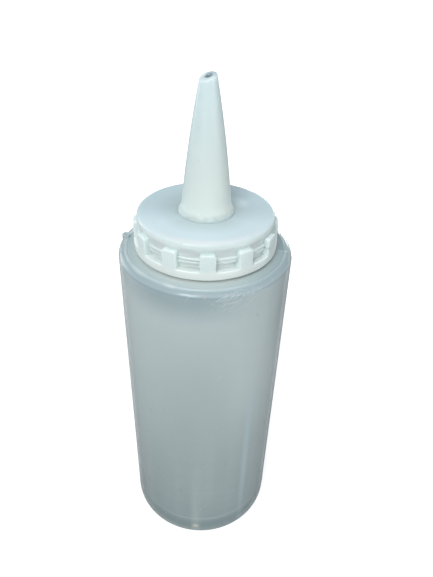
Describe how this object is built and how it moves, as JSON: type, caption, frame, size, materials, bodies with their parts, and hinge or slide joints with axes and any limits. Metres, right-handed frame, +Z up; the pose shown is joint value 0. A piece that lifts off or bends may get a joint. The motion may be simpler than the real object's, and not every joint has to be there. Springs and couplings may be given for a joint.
{
  "type": "squeeze bottle",
  "caption": "Empty translucent cylindrical squeeze bottle for sauce, with a ribbed screw cap and a long tapering nozzle cut off at a slant.",
  "frame": {"origin": "middle of the base, on the plane that the bottle stands on", "axes": "+Z up along the bottle's axis to the nozzle; the ear on the shoulder, on the mould's parting line, stands near -X"},
  "size_m": [0.053, 0.053, 0.1667],
  "materials": {
    "bottle_plastic": "soft-gloss translucent",
    "cap_plastic": "soft-gloss, milky"
  },
  "bodies": {
    "root": {"bottle": "bottle_plastic", "cap": "cap_plastic"}
  },
  "joints": []
}
